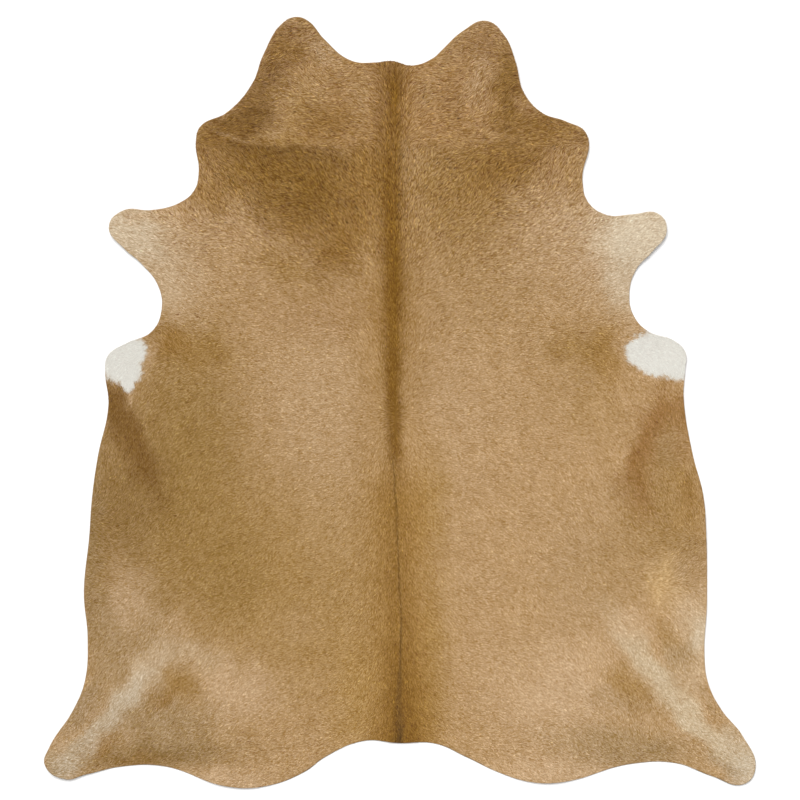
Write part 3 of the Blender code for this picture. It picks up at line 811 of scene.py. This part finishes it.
def all_locks():
    """Every lock of the hide: its three corners (root, tip and shoulder) and their colours."""
    roots = rows_inside(LOCK_STEP)
    roots += LOCK_STEP * coat_draws.uniform(-LOCK_JITTER, LOCK_JITTER, roots.shape)
    root_inset = inset(roots)
    inside = root_inset > ROOT_INSET
    roots, root_inset = roots[inside], root_inset[inside]
    bench = on_the_bench(roots)
    way = lay_of(roots)
    lengths = MM * along_rows(bench, LAYS, "length")
    lengths *= coat_draws.uniform(*LENGTH_RANGE, len(roots))
    near_edge = np.flatnonzero(root_inset < lengths + 2 * ROOT_INSET)
    tips = roots[near_edge] + way[near_edge] * lengths[near_edge, None]
    tip_inset = inset(tips)
    room = root_inset[near_edge] - TIP_INSET
    keep = room / np.maximum(root_inset[near_edge] - tip_inset, LEAST_DROP)
    shorten = np.where(tip_inset < TIP_INSET, np.clip(keep, SHORTEST_SHARE, 1.0), 1.0)
    lengths[near_edge] *= shorten
    tips = roots + way * lengths[:, None]
    side = coat_draws.choice((-1.0, 1.0), len(roots))
    widths = LOCK_WIDTH * coat_draws.uniform(*WIDTH_RANGE, len(roots))
    aside = side * np.minimum(widths, root_inset)
    shoulders = roots + LOCK_SHOULDER * (tips - roots)
    shoulders += np.column_stack((-way[:, 1], way[:, 0])) * aside[:, None]
    colours = coat_colours(roots)
    tinted = off_white(colours)
    root_top = lift(roots) + LEATHER_THICKNESS
    tip_top = lift(tips) + LEATHER_THICKNESS
    rise = TIP_RISE * lengths * coat_draws.uniform(*RISE_RANGE, len(roots))
    rise *= WHITE_RISE + (1 - WHITE_RISE) * tinted
    shoulder_top = root_top + LOCK_SHOULDER * (tip_top - root_top) + SHOULDER_RISE * rise
    shoulder_top += SHOULDER_ROLL * coat_draws.uniform(0.0, 1.0, len(roots))
    corners = np.stack(
        (
            np.column_stack((roots, root_top - ROOT_SINK)),
            np.column_stack((tips, tip_top + rise)),
            np.column_stack((shoulders, shoulder_top)),
        ),
        axis=1,
    )
    variety = coat_draws.standard_gamma(EVENNESS, len(roots)) - EVENNESS
    variety *= LOCK_VARIETY / math.sqrt(EVENNESS)
    variety += WISP_VARIETY * streaks(roots, way, WISP_WIDTH, WISP_LENGTH, seed=41)
    variety *= along_rows(bench, LAYS, "variety")
    tufts = streaks(roots, way, TUFT_WIDTH, TUFT_LENGTH, seed=42)
    variety += along_rows(bench, LAYS, "tufts") * tufts
    for number, size in enumerate(BLOTCH_SIZES):
        variety += BLOTCH_VARIETY * mottle(roots, size, seed=51 + number, waves=24)
    paleness = colours.mean(axis=1)
    one = np.ones(len(roots))
    lean = np.column_stack((RED_LEAN * one, one, BLUE_LEAN * paleness ** BLUE_LEAN_POWER))
    shade = np.clip(1 + (tinted * variety)[:, None] * lean, DARKEST_LOCK, PALEST_LOCK)
    colours *= COAT_LEVEL * shade
    colours *= 1 - RIM_SHADE * np.exp(-(root_inset / RIM_WIDTH) ** 2)[:, None]
    # Painted shade and highlight along each lock: darker at the root where locks overlap, paler at the
    # tip.
    darker = tinted[:, None] * (1 - np.array((ROOT_SHADE, TIP_SHADE, SHOULDER_SHADE)))
    colours = colours[:, None, :] * (1 - darker[:, :, None] * lean[:, None, :])
    return corners, np.clip(colours, 0.0, BRIGHTEST)


# Two locks share a cell of the colour map, one in each half of it.
MAP_HALVES = np.array((
    ((0.06, 0.06), (0.84, 0.06), (0.06, 0.84)),
    ((0.94, 0.94), (0.16, 0.94), (0.94, 0.16)),
))


def map_places(roots):
    """The corners of each lock on a square map, neighbours on the hide being neighbours on the map."""
    side = math.ceil(math.sqrt(len(roots) / 2))
    corners = np.empty((len(roots), 3, 2))
    down = np.argsort(roots[:, 1], kind="stable")
    for row in range(math.ceil(len(roots) / (2 * side))):
        in_row = down[2 * row * side:2 * (row + 1) * side]
        in_row = in_row[np.argsort(roots[in_row, 0], kind="stable")]
        column, half = np.divmod(np.arange(len(in_row)), 2)
        cell = np.column_stack((column, np.full(len(column), row)))
        corners[in_row] = cell[:, None, :] + MAP_HALVES[half]
    return corners / side


def paint(mesh, colours):
    """Gives each corner of a mesh its own colour."""
    tints = np.column_stack((colours, np.ones(len(colours))))
    layer = mesh.color_attributes.new("lock_colour", "FLOAT_COLOR", "POINT")
    layer.data.foreach_set("color", tints.ravel())


# So many hairs lie across and along a lock, each lock at its own place in a wide field of them.
HAIRS_ACROSS, HAIRS_ALONG, HAIR_FIELD = 4.0, 0.8, 400.0
HAIR_STRETCH = np.array(((0.0, 0.0), (0.0, 1.0), (1.0, LOCK_SHOULDER)))


def coat_piece(name, corners, colours, material):
    """One stretch of the coat, as a mesh of its locks, each facing up."""
    count = len(corners)
    along, aside = corners[:, 1] - corners[:, 0], corners[:, 2] - corners[:, 0]
    on_the_left = along[:, 0] * aside[:, 1] > along[:, 1] * aside[:, 0]
    turn = np.where(on_the_left[:, None], (0, 1, 2), (0, 2, 1))
    each = np.arange(count)[:, None]
    mesh = bpy.data.meshes.new(name)
    mesh.vertices.add(3 * count)
    mesh.vertices.foreach_set("co", corners.ravel())
    mesh.loops.add(3 * count)
    mesh.loops.foreach_set("vertex_index", (3 * each + turn).ravel())
    mesh.polygons.add(count)
    mesh.polygons.foreach_set("loop_start", 3 * np.arange(count))
    mesh.update(calc_edges=True)
    on_map = map_places(corners[:, 0, :2])
    mesh.uv_layers.new(name="OFBake").data.foreach_set("uv", on_map[each, turn].ravel())
    on_hairs = HAIR_STRETCH * (HAIRS_ACROSS, HAIRS_ALONG)
    on_hairs = on_hairs + coat_draws.uniform(0.0, HAIR_FIELD, (count, 1, 2))
    mesh.uv_layers.new(name="hairs").data.foreach_set("uv", on_hairs[each, turn].ravel())
    paint(mesh, colours.reshape(-1, 3))
    mesh.shade_smooth()
    mesh.materials.append(material)
    piece = bpy.data.objects.new(name, mesh)
    bpy.context.scene.collection.objects.link(piece)
    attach(piece, "root")
    return piece


# Painted shade: the skin between the locks is coloured darker than the coat over it.
UNDERCOAT_SHADE = 0.72
UNDERCOAT_GLOSS, UNDERCOAT_ROUGHNESS = 0.1, 0.8
UNDERCOAT_GRAINS_A_METRE, DARKER_GRAIN, PALER_GRAIN = 700.0, 0.7, 1.3


def undercoat_with_painted_shade():
    """Colours the skin between the locks with the coat's own colour, made darker as painted shade
    between the locks.
    """
    skin = leather.data
    colours = coat_colours(np.array([corner.co[:2] for corner in skin.vertices]))
    shade = 1 - (1 - UNDERCOAT_SHADE) * off_white(colours)[:, None]
    paint(skin, np.clip(shade * COAT_LEVEL * colours, 0.0, BRIGHTEST))
    material, shader = new_finish("undercoat_with_painted_shade", UNDERCOAT_GLOSS, UNDERCOAT_ROUGHNESS)
    colour = add_node(material, "ShaderNodeVertexColor", (-760, 160), layer_name="lock_colour")
    place = add_node(material, "ShaderNodeTexCoord", (-1000, -100))
    grain = add_node(material, "ShaderNodeTexNoise", (-760, -100))
    grain.inputs["Scale"].default_value = UNDERCOAT_GRAINS_A_METRE
    uneven = add_node(material, "ShaderNodeMapRange", (-520, -100))
    uneven.inputs["To Min"].default_value = DARKER_GRAIN
    uneven.inputs["To Max"].default_value = PALER_GRAIN
    grained = add_node(material, "ShaderNodeVectorMath", (-280, 100), operation="SCALE")
    link = material.node_tree.links.new
    link(place.outputs["Object"], grain.inputs["Vector"])
    link(grain.outputs["Fac"], uneven.inputs["Value"])
    link(colour.outputs["Color"], grained.inputs[0])
    link(uneven.outputs["Result"], grained.inputs["Scale"])
    link(grained.outputs["Vector"], shader.inputs["Base Color"])
    skin.materials[0] = material


# The coat is made in five stretches along the hide, each between two places across, in centimetres.
STRETCHES = (
    ("coat_belly_left", -200.0, -50.0),
    ("coat_side_left", -50.0, -17.0),
    ("coat_back", -17.0, 17.0),
    ("coat_side_right", 17.0, 50.0),
    ("coat_belly_right", 50.0, 200.0),
)
locks, lock_colours = all_locks()
root_across = on_the_bench(locks[:, 0, :2])[:, 0]
undercoat_with_painted_shade()
hair = coat_finish()
for name, from_across, to_across in STRETCHES:
    here = (root_across >= from_across) & (root_across < to_across)
    coat_piece(name, locks[here], lock_colours[here], hair)

# Studio
# A wide pale floor, one far soft lamp above the head end and pale light from all round, and a
# camera straight above, where the photograph was taken from.
FLOOR_HALF = 60.0
FLOOR_PALE = (0.94, 0.94, 0.94, 1.0)
FLOOR_GLOSS, FLOOR_ROUGHNESS = 0.1, 0.9
WORLD_PALE = (1.0, 1.0, 1.0, 1.0)
WORLD_STRENGTH = 0.63
LAMP_FROM = (-0.25, 0.60, 0.76)
LAMP_SOFTNESS = math.radians(40)
LAMP_STRENGTH = 2.71

# The photograph takes in this width of the floor, about this middle, in metres.
CAMERA_HEIGHT = 7.0
PHOTO_WIDTH = 2.288
PHOTO_MIDDLE = (0.0, 0.0075)
SENSOR = 36.0
SIGHT = 100.0

bpy.ops.mesh.primitive_plane_add(size=2 * FLOOR_HALF)
floor = bpy.context.object
floor.name = "floor"
floor_paint, floor_shader = new_finish("floor", FLOOR_GLOSS, FLOOR_ROUGHNESS)
floor_shader.inputs["Base Color"].default_value = FLOOR_PALE
floor.data.materials.append(floor_paint)

world = bpy.data.worlds.new("studio")
world.use_nodes = True
backdrop = world.node_tree.nodes["Background"]
backdrop.inputs["Color"].default_value = WORLD_PALE
backdrop.inputs["Strength"].default_value = WORLD_STRENGTH
bpy.context.scene.world = world

glow = bpy.data.lights.new("lamp", "SUN")
glow.angle = LAMP_SOFTNESS
glow.energy = LAMP_STRENGTH
lamp = bpy.data.objects.new("lamp", glow)
lamp.rotation_euler = Vector(LAMP_FROM).to_track_quat("Z", "Y").to_euler()
bpy.context.scene.collection.objects.link(lamp)

lens = bpy.data.cameras.new("camera")
lens.sensor_width = SENSOR
lens.lens = SENSOR * CAMERA_HEIGHT / PHOTO_WIDTH
lens.clip_end = SIGHT
camera = bpy.data.objects.new("camera", lens)
camera.location = (*PHOTO_MIDDLE, CAMERA_HEIGHT)
bpy.context.scene.collection.objects.link(camera)
bpy.context.scene.camera = camera
bpy.context.scene.view_settings.view_transform = "Standard"
